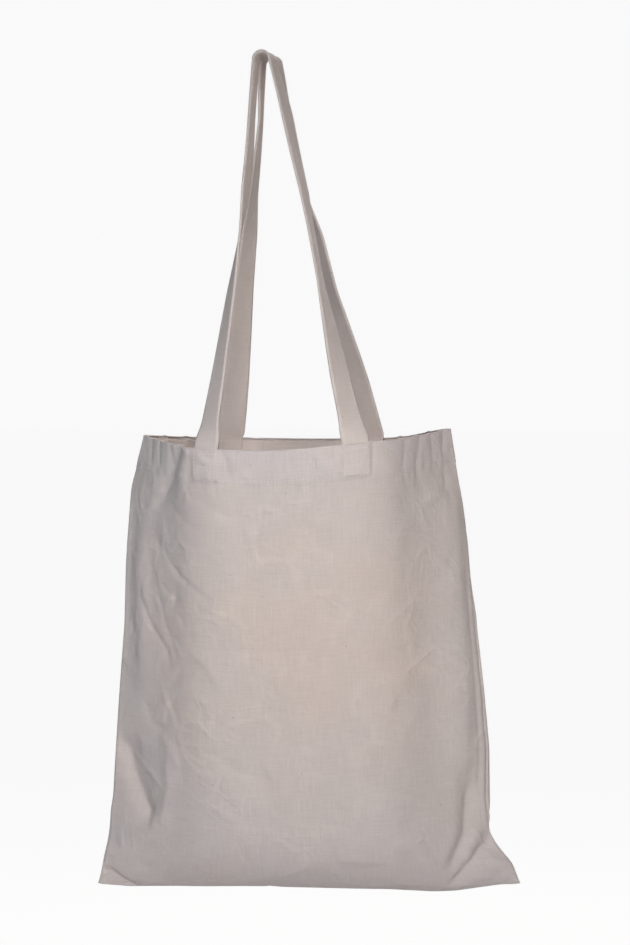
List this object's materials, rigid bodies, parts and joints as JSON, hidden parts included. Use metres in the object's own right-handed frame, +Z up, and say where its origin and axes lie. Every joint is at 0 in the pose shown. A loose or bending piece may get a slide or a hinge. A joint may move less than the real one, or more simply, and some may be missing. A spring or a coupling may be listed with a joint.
{
  "type": "canvas tote bag",
  "caption": "Unlined canvas tote bag with an open hemmed mouth and long flat shoulder straps that gather on a peg; the straps fold down over the mouth.",
  "frame": {"origin": "middle of the bottom seam, on the plane between the panels", "axes": "+X along the bag's width, towards the right seam; -Y out of the front panel; +Z up, towards the straps"},
  "size_m": [0.38, 0.2023, 0.754],
  "materials": {
    "canvas": "natural cotton canvas, matte",
    "hem": "natural cotton canvas, matte",
    "overlock": "overlocked cloth edge, matte",
    "strap": "natural cotton canvas folded double, matte"
  },
  "bodies": {
    "bag": {"front_panel": "canvas", "back_panel": "canvas", "front_hem": "hem", "back_hem": "hem", "left_side_seam": "overlock", "right_side_seam": "overlock", "bottom_seam": "overlock", "front_left_strap_end": "strap", "front_right_strap_end": "strap", "back_left_strap_end": "strap", "back_right_strap_end": "strap"},
    "front_handle": {"front_handle": "strap"},
    "back_handle": {"back_handle": "strap"}
  },
  "joints": [
    {"name": "front_handle_swing", "type": "hinge", "parent": "bag", "child": "front_handle", "pos_m": [0, -0.09899, 0.41392], "axis": [0.9988, -0.0051, 0.0488], "range_deg": [0, 165]},
    {"name": "back_handle_swing", "type": "hinge", "parent": "bag", "child": "back_handle", "pos_m": [0, 0.09864, 0.41058], "axis": [-1, 0, 0], "range_deg": [0, 165]}
  ]
}
